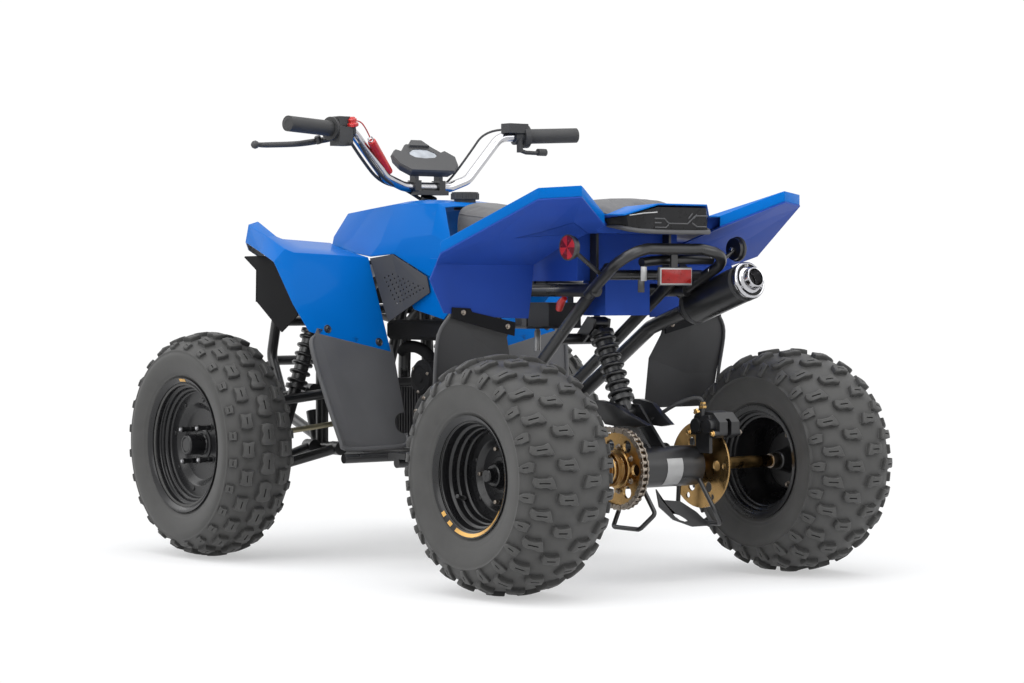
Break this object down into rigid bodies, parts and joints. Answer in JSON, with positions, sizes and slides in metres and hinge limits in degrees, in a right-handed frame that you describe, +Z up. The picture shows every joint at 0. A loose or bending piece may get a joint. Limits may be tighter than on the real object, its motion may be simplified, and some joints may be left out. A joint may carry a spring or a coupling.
{
  "type": "quad bike",
  "caption": "Youth quad bike with chain-driven rigid rear axle, wishbone front suspension, handlebar steering and moulded body panels.",
  "frame": {"origin": "bottom centre of the bounding box, on the ground midway along the length", "axes": "+X forward along the length, +Y to the rider's left, +Z up"},
  "size_m": [1.4796, 1.004, 0.9419],
  "materials": {
    "blue_paint": "glossy blue moulded plastic",
    "inner_blue": "unpainted violet-blue plastic",
    "frame_black": "satin black powder coat",
    "rim_black": "satin black",
    "tyre": "matt black rubber",
    "dark_plastic": "fine-grained dark grey plastic",
    "seat_cover": "black vinyl",
    "gold_steel": "yellow zinc plate",
    "chain_steel": "oiled steel",
    "chrome": "chromed or polished",
    "engine_metal": "black-painted castings",
    "rubber": "soft black rubber",
    "red_lens": "red reflector plastic",
    "clear_lens": "clear lens",
    "red_plastic": "red plastic"
  },
  "bodies": {
    "chassis": {"arms_left": "frame_black", "arms_right": "frame_black", "axle_carrier": "frame_black", "battery_box": "dark_plastic", "brake_caliper": "engine_metal", "brake_hose": "rubber", "chain": "chain_steel", "engine": "engine_metal", "exhaust_pipe": "frame_black", "footrests": "frame_black", "frame_front": "frame_black", "frame_lower": "frame_black", "frame_upper": "frame_black", "front_bumper": "frame_black", "front_fender": "blue_paint", "front_nose": "dark_plastic", "front_shocks": "frame_black", "fuel_cap": "dark_plastic", "headlights": "clear_lens", "heel_guards": "dark_plastic", "inner_fender": "inner_blue", "knee_panels": "dark_plastic", "leg_shields": "dark_plastic", "lower_guards": "frame_black", "muffler": "frame_black", "muffler_tip": "chrome", "rear_fender": "blue_paint", "rear_loop": "frame_black", "rear_panel": "inner_blue", "rear_shock": "frame_black", "reflectors": "red_lens", "seat": "seat_cover", "swingarm": "frame_black", "tail_lamp": "dark_plastic", "tank_cover": "blue_paint"},
    "steering": {"steering_column": "frame_black", "handlebar": "chrome", "grips": "rubber", "switch_housings": "dark_plastic", "levers": "frame_black", "gauge_pod": "dark_plastic", "display": "clear_lens", "kill_key": "red_plastic", "lanyard": "red_plastic", "control_cables": "rubber"},
    "knuckle_left": {"knuckle_left": "frame_black"},
    "knuckle_right": {"knuckle_right": "frame_black"},
    "wheel_front_left": {"front_tyre_left": "tyre", "front_rim_left": "rim_black"},
    "wheel_front_right": {"front_tyre_right": "tyre", "front_rim_right": "rim_black"},
    "tie_rod_left": {"tie_rod_left": "gold_steel"},
    "tie_rod_right": {"tie_rod_right": "gold_steel"},
    "rear_axle": {"rear_axle": "gold_steel", "rear_sprocket": "gold_steel", "brake_disc": "gold_steel", "rear_tyre_left": "tyre", "rear_tyre_right": "tyre", "rear_rim_left": "rim_black", "rear_rim_right": "rim_black"}
  },
  "joints": [
    {"name": "steer", "type": "hinge", "parent": "chassis", "child": "steering", "pos_m": [0.422, 0, 0.33], "axis": [-0.3818, 0, 0.9243], "range_deg": [-30, 30]},
    {"name": "knuckle_left_turn", "type": "hinge", "parent": "chassis", "child": "knuckle_left", "pos_m": [0.447, 0.372, 0.168], "axis": [-0.0646, -0.0775, 0.9949], "range_deg": [-20.01, 20.01]},
    {"name": "knuckle_right_turn", "type": "hinge", "parent": "chassis", "child": "knuckle_right", "pos_m": [0.447, -0.372, 0.168], "axis": [-0.0646, 0.0775, 0.9949], "range_deg": [-20.01, 20.01]},
    {"name": "tie_rod_left_swing", "type": "hinge", "parent": "knuckle_left", "child": "tie_rod_left", "pos_m": [0.364, 0.35, 0.262], "axis": [-0.0646, -0.0775, 0.9949], "range_deg": [-20.01, 20.01]},
    {"name": "tie_rod_right_swing", "type": "hinge", "parent": "knuckle_right", "child": "tie_rod_right", "pos_m": [0.364, -0.35, 0.262], "axis": [-0.0646, 0.0775, 0.9949], "range_deg": [-20.01, 20.01]},
    {"name": "front_left_roll", "type": "hinge", "parent": "knuckle_left", "child": "wheel_front_left", "pos_m": [0.462, 0.42, 0.242], "axis": [0, 1, 0], "continuous": true},
    {"name": "front_right_roll", "type": "hinge", "parent": "knuckle_right", "child": "wheel_front_right", "pos_m": [0.462, -0.42, 0.242], "axis": [0, 1, 0], "continuous": true},
    {"name": "rear_axle_roll", "type": "hinge", "parent": "chassis", "child": "rear_axle", "pos_m": [-0.518, 0, 0.228], "axis": [0, 1, 0], "continuous": true}
  ],
  "couplings": [
    {"joint": "knuckle_left_turn", "follows": "steer", "ratio": 0.667},
    {"joint": "knuckle_right_turn", "follows": "steer", "ratio": 0.667},
    {"joint": "tie_rod_left_swing", "follows": "steer", "ratio": -0.667},
    {"joint": "tie_rod_right_swing", "follows": "steer", "ratio": -0.667}
  ]
}
